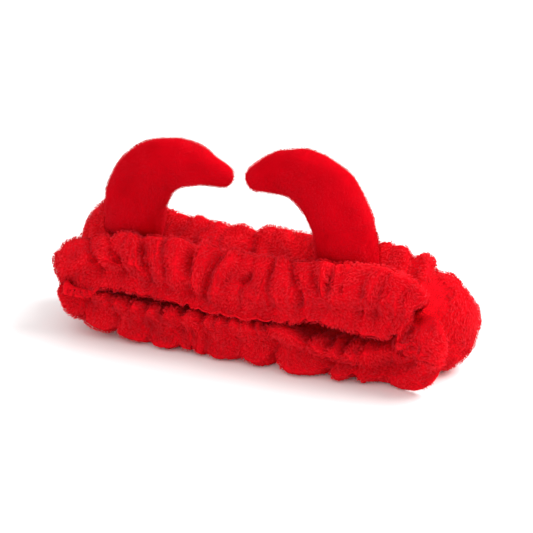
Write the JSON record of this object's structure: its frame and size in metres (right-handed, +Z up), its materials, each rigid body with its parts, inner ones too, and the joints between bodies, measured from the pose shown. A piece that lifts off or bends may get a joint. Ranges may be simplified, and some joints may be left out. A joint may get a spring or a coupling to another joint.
{
  "type": "plush spa headband with horns",
  "caption": "Gathered plush elastic headband, lying flat as a closed loop, with curved stuffed horns sewn on top.",
  "frame": {"origin": "middle of the whole thing seen from above, on the surface it lies on", "axes": "+X along the flattened loop, towards the end under the taller horn, +Y from the front edge to the back edge (the way the head goes through), +Z up"},
  "size_m": [0.2518, 0.0662, 0.1206],
  "materials": {
    "plush": "long soft pile",
    "velour": "short brushed pile"
  },
  "bodies": {
    "root": {"band": "plush", "horn_left": "velour", "horn_right": "velour"}
  },
  "joints": []
}
